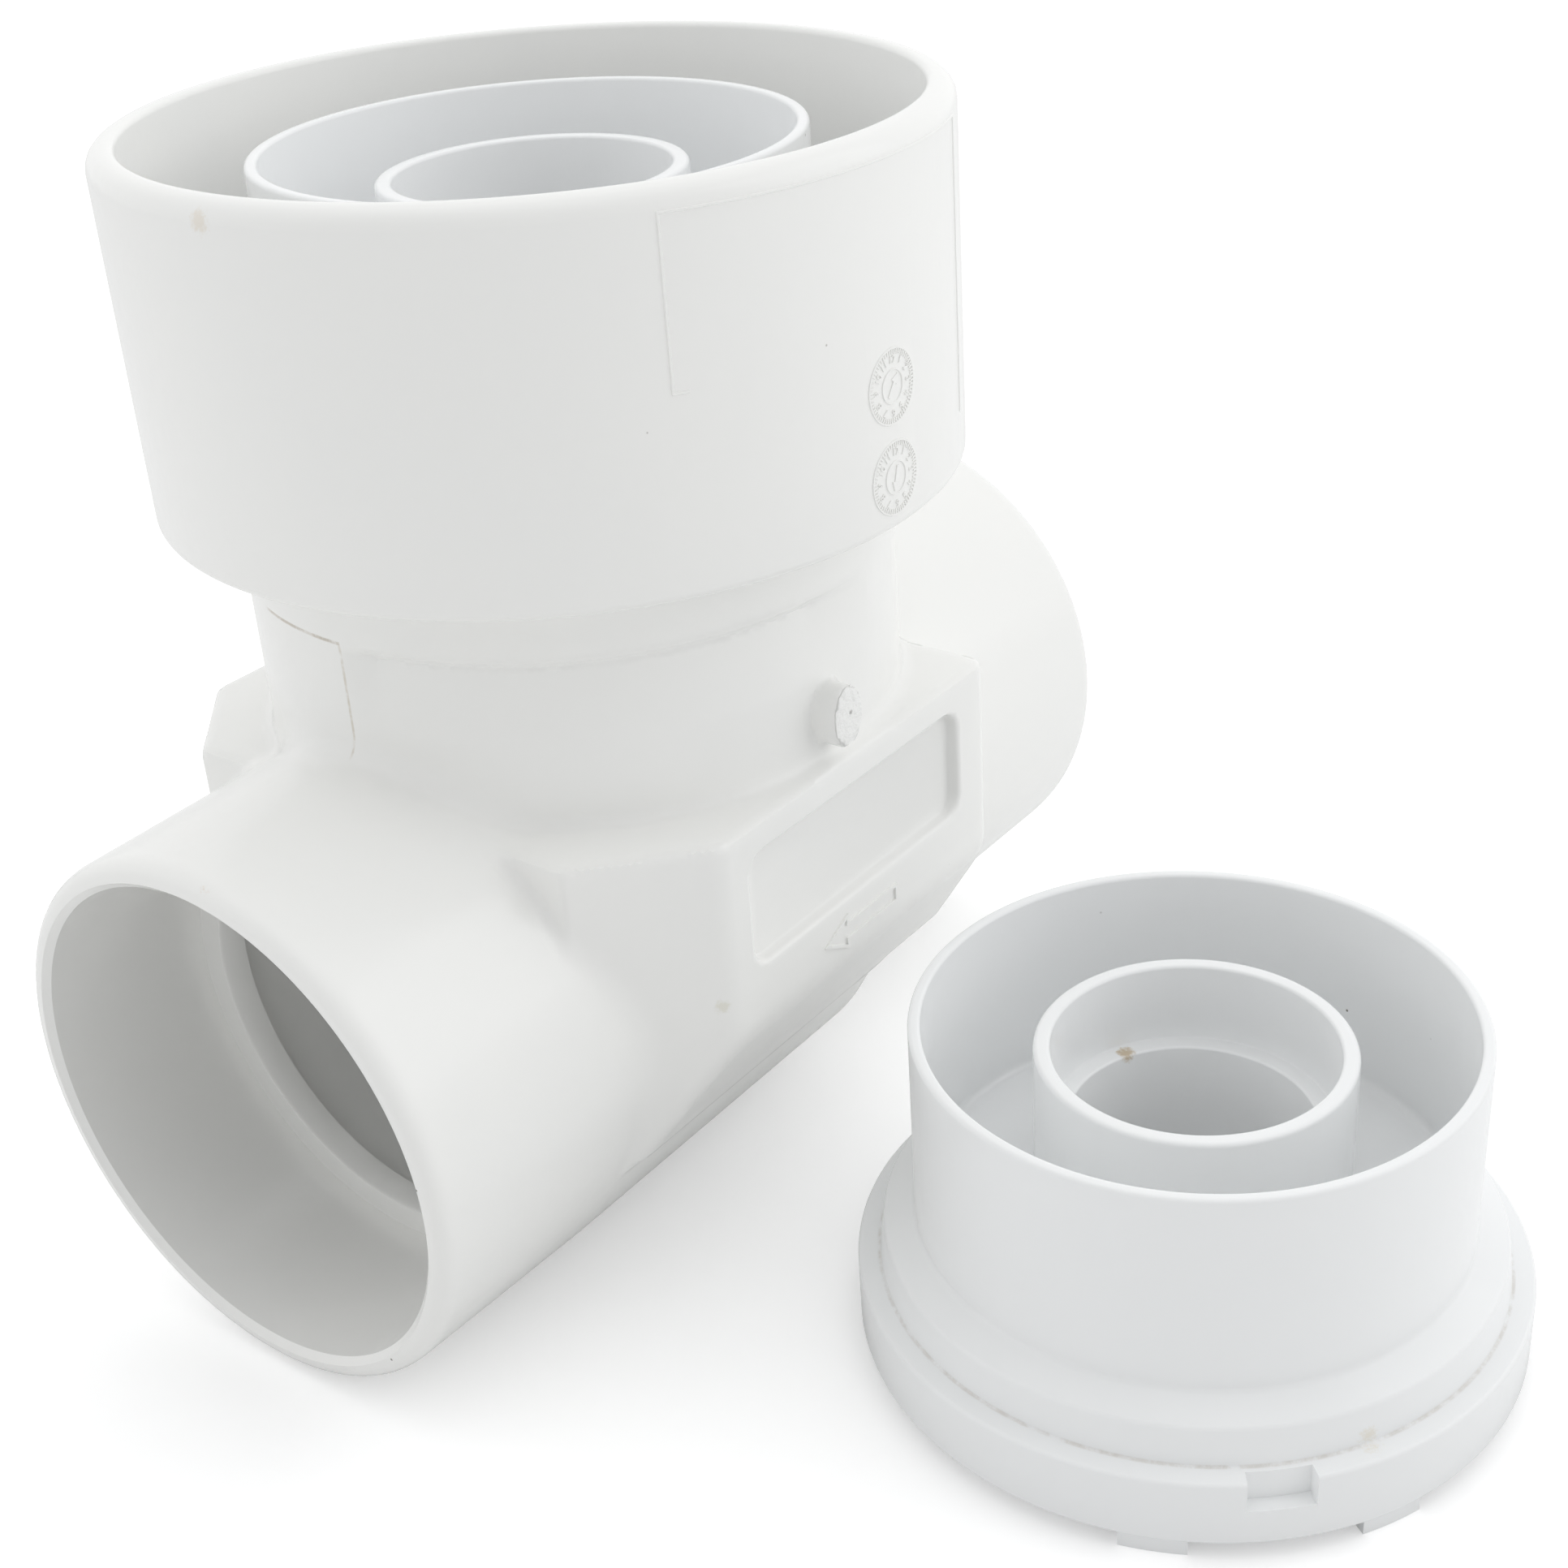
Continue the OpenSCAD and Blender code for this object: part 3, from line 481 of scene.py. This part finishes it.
def on_hub(flat):
    """Wraps points given along the hub's wall, up it and out of it round the hub."""
    u, v, h = np.asarray(flat, float).T
    angle = u / HUB_R - math.pi / 2
    return np.stack([(HUB_R + h) * np.cos(angle), (HUB_R + h) * np.sin(angle), v], 1)


def ridge(path, width, closed):
    """Points and faces of a thin raised line with sloping flanks along a path on the wall."""
    path = np.array(path, float)
    before, after = path - np.roll(path, 1, 0), np.roll(path, -1, 0) - path
    if not closed:
        before[0], after[-1] = after[0], before[-1]
    along = before / np.linalg.norm(before, axis=1)[:, None] + after / np.linalg.norm(after, axis=1)[:, None]
    along *= 2 / (along**2).sum(1)[:, None]
    aside = np.stack([-along[:, 1], along[:, 0]], 1) * width
    rows = [np.column_stack([path + aside * shift, np.full(len(path), h)])
        for shift, h in ((-0.5, ROOT), (-0.22, PROUD), (0.22, PROUD), (0.5, ROOT))]
    n = len(path)
    faces = [(r * n + i, r * n + (i + 1) % n, (r + 1) % 4 * n + (i + 1) % n, (r + 1) % 4 * n + i)
        for r in range(4) for i in range(n if closed else n - 1)]
    if not closed:
        faces += [(0, n, 2 * n, 3 * n), (n - 1, 2 * n - 1, 3 * n - 1, 4 * n - 1)]
    return np.concatenate(rows), faces


def polyline(corners, step=1.2):
    line = []
    for a, b in zip(corners[:-1], corners[1:]):
        count = max(1, round(math.dist(a, b) / step))
        line += [tuple(np.array(a) + (np.array(b) - np.array(a)) * i / count) for i in range(count)]
    return line + [corners[-1]]


def data_of(made):
    """Points and faces of an object as its modifiers or its text make it; the object is used up."""
    bpy.context.view_layer.update()
    mesh = bpy.data.meshes.new_from_object(made.evaluated_get(bpy.context.evaluated_depsgraph_get()))
    points = np.array([v.co for v in mesh.vertices])
    faces = [tuple(p.vertices) for p in mesh.polygons]
    bpy.data.objects.remove(made)
    return points, faces


def tick_group():
    """Node group that sets ticks round a circle: named inputs for their count and radius."""
    group = bpy.data.node_groups.new("dial_ticks", "GeometryNodeTree")
    for name, kind in (("Count", "NodeSocketInt"), ("Radius", "NodeSocketFloat"),
            ("Material", "NodeSocketMaterial")):
        group.interface.new_socket(name, in_out="INPUT", socket_type=kind)
    group.interface.new_socket("Geometry", in_out="OUTPUT", socket_type="NodeSocketGeometry")
    given, result = group.nodes.new("NodeGroupInput"), group.nodes.new("NodeGroupOutput")
    ring = group.nodes.new("GeometryNodeMeshCircle")
    tick = group.nodes.new("GeometryNodeMeshCube")
    tick.inputs["Size"].default_value = (1.0, 0.35, PROUD - ROOT)
    spread = group.nodes.new("GeometryNodeInstanceOnPoints")
    turn = group.nodes.new("FunctionNodeAlignRotationToVector")
    turn.axis = "X"
    real = group.nodes.new("GeometryNodeRealizeInstances")
    paint = group.nodes.new("GeometryNodeSetMaterial")
    for source, target in ((given.outputs["Count"], ring.inputs["Vertices"]),
            (given.outputs["Radius"], ring.inputs["Radius"]),
            (ring.outputs["Mesh"], spread.inputs["Points"]),
            (tick.outputs["Mesh"], spread.inputs["Instance"]),
            (group.nodes.new("GeometryNodeInputPosition").outputs[0], turn.inputs["Vector"]),
            (turn.outputs[0], spread.inputs["Rotation"]), (spread.outputs[0], real.inputs[0]),
            (real.outputs[0], paint.inputs["Geometry"]),
            (given.outputs["Material"], paint.inputs["Material"]),
            (paint.outputs[0], result.inputs[0])):
        group.links.new(source, target)
    return group


def ticks_of(group, count, radius):
    carrier = new_object("ticks", [(0, 0, 0)], [])
    step = carrier.modifiers.new("ticks", "NODES")
    step.node_group = group
    named = {item.name: item.identifier for item in group.interface.items_tree if item.in_out == "INPUT"}
    step[named["Count"]], step[named["Radius"]], step[named["Material"]] = count, radius, body_pvc
    return data_of(carrier)


def number_of(value):
    curve = bpy.data.curves.new("number", "FONT")
    curve.body, curve.size, curve.extrude, curve.resolution_u = str(value), NUMBER_SIZE, (PROUD - ROOT) / 2, 3
    curve.align_x, curve.align_y = "CENTER", "CENTER"
    made = bpy.data.objects.new("number", curve)
    bpy.context.scene.collection.objects.link(made)
    return data_of(made)


frame_path = polyline([(FRAME_LEFT + 3.2, FRAME_LOW), (FRAME_LEFT, FRAME_LOW), (FRAME_LEFT, FRAME_TOP),
    (FRAME_RIGHT, FRAME_TOP), (FRAME_RIGHT, FRAME_DEEP)])
pieces = [ridge(frame_path, 0.8, False)]
group = tick_group()
middle_h = (PROUD + ROOT) / 2
for height, aim in DIALS:
    for radius, width in ((DIAL_R, 0.7), (HEART_R, 0.5)):
        around = np.radians(np.arange(0, 360, 7.5))
        circle = np.stack([radius * np.cos(around), height + radius * np.sin(around)], 1)
        pieces.append(ridge(circle, width, True))
    points, faces = ticks_of(group, 60, TICK_R)
    pieces.append((points + np.array((0, height, middle_h)), faces))
    for value in range(1, 13):
        points, faces = number_of(value)
        a = math.radians(30 * value)
        spin = np.array(((math.cos(a), -math.sin(a), 0), (math.sin(a), math.cos(a), 0), (0, 0, 1)))
        at = (NUMBER_R * math.sin(a), height + NUMBER_R * math.cos(a), middle_h)
        pieces.append((points @ spin + np.array(at), faces))
    hand = [(-0.35, -2.6), (0.35, -2.6), (0.35, 0.9), (1.2, 0.9), (0, 2.9), (-1.2, 0.9), (-0.35, 0.9)]
    a = math.radians(aim)
    spun = [(p * math.cos(a) - q * math.sin(a), height + p * math.sin(a) + q * math.cos(a)) for p, q in hand]
    n = len(spun)
    faces = [tuple(range(n))[::-1], tuple(range(n, 2 * n))]
    faces += [(i, (i + 1) % n, n + (i + 1) % n, n + i) for i in range(n)]
    pieces.append((np.array([(p, q, h) for h in (ROOT, PROUD) for p, q in spun]), faces))
marks = None
for points, faces in pieces:
    raised = cleaned(new_object("raised", on_hub(points), faces))
    marks = combined(marks, raised, "UNION") if marks else raised
combined(valve, marks, "UNION")
valve.data.shade_smooth()
valve.data.set_sharp_from_angle(angle=math.radians(42))
valve.data.materials.clear()
valve.data.materials.append(body_pvc)
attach(valve, "body")
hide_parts("valve_body")

# The two couplings: double-socket PVC mouldings of one pattern, one in the riser with the flapper's
# hanger under it, one loose. Rings for 4 and 2 inch pipe stand on a shoulder over a keyed flange.
COUPLING = [(62.8, 0, 0.5), (73, 0, 0.7), (73, 15.7, 0.9), (68, 15.7, 0.6), (67, 24.4, 1.3), (60.05, 27.9, 1.6),
    (60.05, 74.4, 0.9), (57.35, 74.4, 0.8), (57.35, 29.9, 2.0), (33.85, 29.9, 2.0), (33.85, 67.2, 1.0),
    (30.25, 67.2, 0.8), (30.25, 48.2, 0.5), (26.25, 48.2, 0.6), (26.25, 3.5, 0.4), (29.85, 3.5, 0.4),
    (29.85, 25.4, 1.5), (55.55, 25.4, 1.5), (62.8, 11.2, 1.0)]
FLANGE_R, FLANGE_TOP, NOTCH_IN, NOTCH_DEPTH, NOTCH_SPAN = 73.0, 15.7, 3.5, 7.0, 11.0
KEY_R, KEY_LENGTH, KEY_SPAN = (69.0, 72.0), 4.2, 11.0
BOSS_RING, BOSS_R, BOSS_LOW, BOSS_HIGH, SCREW_HOLE = 47.0, 5.0, 3.5, 27.6, 2.1
CARTRIDGE_Z, LOOSE_PLACE, LOOSE_TURN = 171.6, (-3.0, -163.5, 4.2), -48.5


def double_socket(name):
    made = turned(name, rounded(COUPLING), steps=240)
    for middle in (-90, 90):
        combined(made, sector("notch", FLANGE_R - NOTCH_IN, FLANGE_R + 2, FLANGE_TOP - NOTCH_DEPTH,
            FLANGE_TOP + 2, middle, NOTCH_SPAN), "DIFFERENCE")
        for side in (-1, 1):
            combined(made, sector("key", *KEY_R, -KEY_LENGTH, 2, middle + side * LUG_SPREAD, KEY_SPAN), "UNION")
    for angle in (45, 135, 225, 315):
        at = (BOSS_RING * math.cos(math.radians(angle)), BOSS_RING * math.sin(math.radians(angle)), 0)
        combined(made, turned("boss", [(0, BOSS_LOW), (BOSS_R, BOSS_LOW), (BOSS_R, BOSS_HIGH), (0, BOSS_HIGH)],
            at, steps=32), "UNION")
        combined(made, turned("hole", [(0, BOSS_LOW - 2), (SCREW_HOLE, BOSS_LOW - 2), (SCREW_HOLE, BOSS_LOW + 11),
            (0, BOSS_LOW + 11)], at, steps=24), "DIFFERENCE")
    made.data.shade_smooth()
    made.data.set_sharp_from_angle(angle=math.radians(42))
    return made


coupling_pvc, tree, shader, place, tone = moulded_pvc("moulded_coupling_pvc", (0.928, 0.938, 0.94, 1),
    (0.918, 0.928, 0.932, 1), 0.2, 0.31)
axes = make(tree, "SeparateXYZ", {0: place})
blotch = make(tree, "TexNoise", {"Vector": place, "Scale": 240.0, "Detail": 5.0, "Roughness": 0.7}).outputs[0]
level = make(tree, "CombineXYZ", {0: axes.outputs[0], 1: axes.outputs[1]}).outputs[0]
loose_axis = (LOOSE_PLACE[0] * MM, LOOSE_PLACE[1] * MM, 0)
reach = make(tree, "VectorMath", {0: level, 1: loose_axis}, operation="DISTANCE").outputs["Value"]
# A darker, broken brownish line round the loose coupling, in the corner where the shoulder's foot meets the
# flange's top.
corner = product(tree, line_at(tree, axes.outputs[2], LOOSE_PLACE[2] + FLANGE_TOP, 0.6),
    line_at(tree, reach, 68.0, 0.9), ramp_of(tree, blotch, 0.35, 0.65), 0.4)
for mark, colour in ((corner, (0.52, 0.46, 0.38, 1)),
        (spot(tree, place, (10.8, -139.8, 52.4), 2.4, 700.0), (0.62, 0.52, 0.38, 1)),
        (spot(tree, place, (58, -200, 14), 4.0, 900.0), (0.84, 0.79, 0.71, 1)),
        (spot(tree, place, (-40, -222, 22), 3.0, 900.0), (0.86, 0.83, 0.76, 1))):
    tone = mixed(tree, mark, tone, colour)
tree.links.new(tone, shader.inputs["Base Color"])
fitted = double_socket("fitted_coupling")
fitted.data.transform(Matrix.Translation((0, 0, CARTRIDGE_Z * MM)))
loose = double_socket("loose_coupling")
loose_turn = Matrix.Rotation(math.radians(LOOSE_TURN), 4, "Z")
loose.data.transform(Matrix.Translation(Vector(LOOSE_PLACE) * MM) @ loose_turn)
for made, body, node in ((fitted, "cartridge", "cartridge_coupling"), (loose, "spare", "spare_coupling")):
    made.data.materials.clear()
    made.data.materials.append(coupling_pvc)
    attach(made, body)
    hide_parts(node)

# Seals: the ring under the cartridge's flange and the flapper's face seal, compression moulded in
# black rubber with a dull skin, a fine grain and a dusting of mould powder.
seal_rubber = bpy.data.materials.new("moulded_seal_rubber")
seal_rubber.use_nodes = True
tree = seal_rubber.node_tree
shader = tree.nodes["Principled BSDF"]
place = make(tree, "TexCoord").outputs["Object"]
dust = make(tree, "TexNoise", {"Vector": place, "Scale": 60.0, "Detail": 5.0, "Roughness": 0.65}).outputs[0]
grain = make(tree, "TexNoise", {"Vector": place, "Scale": 900.0, "Detail": 2.0}).outputs[0]
tree.links.new(mixed(tree, ramp_of(tree, dust, 0.5, 0.8), (0.035, 0.035, 0.038, 1), (0.085, 0.084, 0.08, 1)),
    shader.inputs["Base Color"])
tree.links.new(make(tree, "MapRange", {0: dust, 3: 0.55, 4: 0.8}).outputs[0], shader.inputs["Roughness"])
bump = make(tree, "Bump", {"Strength": 0.15, "Distance": 0.0003, "Height": grain})
tree.links.new(bump.outputs[0], shader.inputs["Normal"])
for name in ("flange_seal", "flapper_seal"):
    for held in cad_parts[name].material_slots:
        held.material = seal_rubber

# Flapper, its clamping plate and the hanger: stiff grey-white PVC mouldings with a matt, lightly
# textured skin and faint flow lines.
flapper_pvc, tree, shader, place, tone = moulded_pvc("moulded_flapper_pvc", (0.8, 0.8, 0.79, 1),
    (0.77, 0.77, 0.755, 1), 0.52, 0.57)
tree.links.new(tone, shader.inputs["Base Color"])
for name in ("flapper_hanger", "flapper_disc", "seal_retainer"):
    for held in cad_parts[name].material_slots:
        held.material = flapper_pvc

# Hinge pin, its two clips and the screws: stainless steel, turned and bright, with fine rings from
# the tool and a little smear of grease.
stainless = bpy.data.materials.new("turned_stainless")
stainless.use_nodes = True
tree = stainless.node_tree
shader = tree.nodes["Principled BSDF"]
shader.inputs["Metallic"].default_value = 1.0
place = make(tree, "TexCoord").outputs["Object"]
smear = make(tree, "TexNoise", {"Vector": place, "Scale": 150.0, "Detail": 3.0}).outputs[0]
rings = make(tree, "TexWave", {"Vector": place, "Scale": 1400.0, "Distortion": 1.5, "Detail": 2.0},
    bands_direction="Y").outputs[1]
tree.links.new(mixed(tree, smear, (0.6, 0.61, 0.62, 1), (0.68, 0.68, 0.67, 1)), shader.inputs["Base Color"])
tree.links.new(make(tree, "MapRange", {0: smear, 3: 0.18, 4: 0.38}).outputs[0], shader.inputs["Roughness"])
bump = make(tree, "Bump", {"Strength": 0.08, "Distance": 0.0001, "Height": rings})
tree.links.new(bump.outputs[0], shader.inputs["Normal"])
for name in ("hanger_screws", "hinge_pin", "pin_clips", "retainer_screws"):
    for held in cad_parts[name].material_slots:
        held.material = stainless

# Studio: a white floor inside a light tent, whose walls and roof glow evenly and whose open front is
# darker, with three broad lamps that add a little direction.
FLOOR_HALF = 3000
corners = [(a * FLOOR_HALF, b * FLOOR_HALF, 0) for a, b in ((-1, -1), (1, -1), (1, 1), (-1, 1))]
floor = new_object("floor", corners, [(0, 1, 2, 3)])
paper = bpy.data.materials.new("white_paper")
paper.use_nodes = True
tree = paper.node_tree
tree.nodes.clear()
seen = make(tree, "LightPath")
card = make(tree, "BsdfDiffuse", {"Color": (0.92, 0.92, 0.92, 1)}).outputs[0]
lift_strength = math_of(tree, "MULTIPLY", seen.outputs["Is Camera Ray"], 0.3)
lift = make(tree, "Emission", {"Color": (1, 1, 1, 1), "Strength": lift_strength})
make(tree, "OutputMaterial", {"Surface": make(tree, "AddShader", {0: card, 1: lift.outputs[0]}).outputs[0]})
floor.data.materials.append(paper)


def soft_lamp(name, place, aim, width, height, power):
    lamp = bpy.data.lights.new(name, "AREA")
    lamp.shape, lamp.size, lamp.size_y, lamp.energy = "RECTANGLE", width, height, power
    made = bpy.data.objects.new(name, lamp)
    bpy.context.scene.collection.objects.link(made)
    made.location = place
    made.rotation_mode = "QUATERNION"
    made.rotation_quaternion = (Vector(aim) - Vector(place)).to_track_quat("-Z", "Y")
    return made


soft_lamp("left_lamp", (-0.75, 0.65, 0.75), (0, -0.05, 0.1), 0.9, 0.9, 0.3)
soft_lamp("right_lamp", (0.5, -0.85, 0.65), (0, -0.05, 0.1), 0.9, 0.9, 1.5)
soft_lamp("top_lamp", (0.05, -0.05, 1.3), (0, -0.05, 0.1), 1.2, 1.2, 1.1)
OPEN_FRONT = (-0.69, -0.54, 0.47)
world = bpy.data.worlds.new("studio")
bpy.context.scene.world = world
world.use_nodes = True
tree = world.node_tree
tree.nodes.clear()
seen = make(tree, "LightPath")
shown = math_of(tree, "MAXIMUM", seen.outputs["Is Camera Ray"], seen.outputs["Is Transmission Ray"])
shown = math_of(tree, "MAXIMUM", shown, seen.outputs["Is Glossy Ray"])
towards = make(tree, "VectorMath", {0: make(tree, "TexCoord").outputs["Generated"], 1: OPEN_FRONT},
    operation="DOT_PRODUCT").outputs["Value"]
glow = make(tree, "MapRange", {0: towards, 1: 0.4, 2: 0.95, 3: 1.02, 4: 0.5},
    interpolation_type="SMOOTHSTEP").outputs[0]
tent = make(tree, "Background", {"Color": (0.99, 0.995, 1, 1), "Strength": glow}).outputs[0]
white = make(tree, "Background", {"Color": (1, 1, 1, 1), "Strength": 1.0}).outputs[0]
make(tree, "OutputWorld", {"Surface": make(tree, "MixShader", {0: shown, 1: tent, 2: white}).outputs[0]})
bpy.context.scene.view_settings.view_transform = "Standard"

# Camera at the photograph's viewpoint, a little above the rim and in front of the outlet.
EYE = (-0.3586, -0.3382, 0.3490)
AZIMUTH, ELEVATION, ROLL = math.radians(-51.88), math.radians(28.30), math.radians(-4.02)
FOCAL_PIXELS, IMAGE_PIXELS, SENSOR = 2780.62, 1932, 36.0
flat = math.cos(ELEVATION)
back = Vector((math.sin(AZIMUTH) * flat, -math.cos(AZIMUTH) * flat, math.sin(ELEVATION)))
right = Vector((math.cos(AZIMUTH), math.sin(AZIMUTH), 0))
up = back.cross(right)
level, lean = math.cos(ROLL), math.sin(ROLL)
turn = Matrix((level * right + lean * up, level * up - lean * right, back)).transposed()
lens = bpy.data.cameras.new("camera")
lens.sensor_width, lens.lens = SENSOR, SENSOR * FOCAL_PIXELS / IMAGE_PIXELS
lens.clip_start, lens.clip_end = 0.01, 20
camera = bpy.data.objects.new("camera", lens)
bpy.context.scene.collection.objects.link(camera)
camera.matrix_world = Matrix.Translation(EYE) @ turn.to_4x4()
bpy.context.scene.camera = camera
